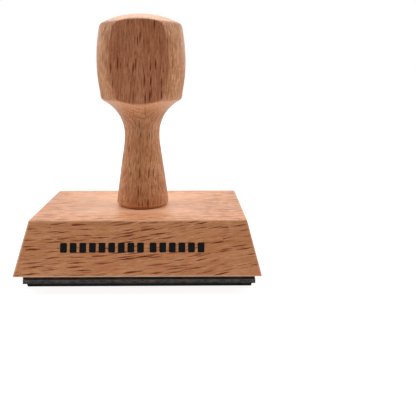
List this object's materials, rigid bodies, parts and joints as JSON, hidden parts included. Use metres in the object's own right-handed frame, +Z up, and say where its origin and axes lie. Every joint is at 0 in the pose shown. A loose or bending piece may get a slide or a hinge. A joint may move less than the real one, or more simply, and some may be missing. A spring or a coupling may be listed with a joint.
{
  "type": "rubber stamp",
  "caption": "Wooden hand stamp: turned handle with finger flats on a bevelled block, over a sponge cushion and a raised rubber text plate.",
  "frame": {"origin": "centre of the stamping face, which the stamp rests on", "axes": "+Z up along the handle, +X to the right along the lines of text as printed, -Y towards the marked front of the block"},
  "size_m": [0.075, 0.05, 0.0855],
  "materials": {
    "handle_beech": "turned and sanded beech, thin satin oil",
    "block_beech": "planed beech, thin satin oil",
    "zinc_steel": "bright zinc plate",
    "wood_glue": "dried, slightly glossy",
    "adhesive_film": "smooth tinted film",
    "sponge": "fine-celled foam rubber, matt",
    "plate_rubber": "smooth matt rubber"
  },
  "bodies": {
    "stamp_body": {"handle": "handle_beech", "handle_screw": "zinc_steel", "handle_glue": "wood_glue", "block": "block_beech", "upper_adhesive": "adhesive_film", "cushion": "sponge"},
    "printing_plate": {"lower_adhesive": "adhesive_film", "text_plate": "plate_rubber"}
  },
  "joints": [
    {"name": "cushion_press", "type": "slide", "parent": "stamp_body", "child": "printing_plate", "axis": [0, 0, 1], "range_m": [0, 0.0006], "stiffness_N_per_m": 300000, "deforming": ["cushion"]}
  ]
}
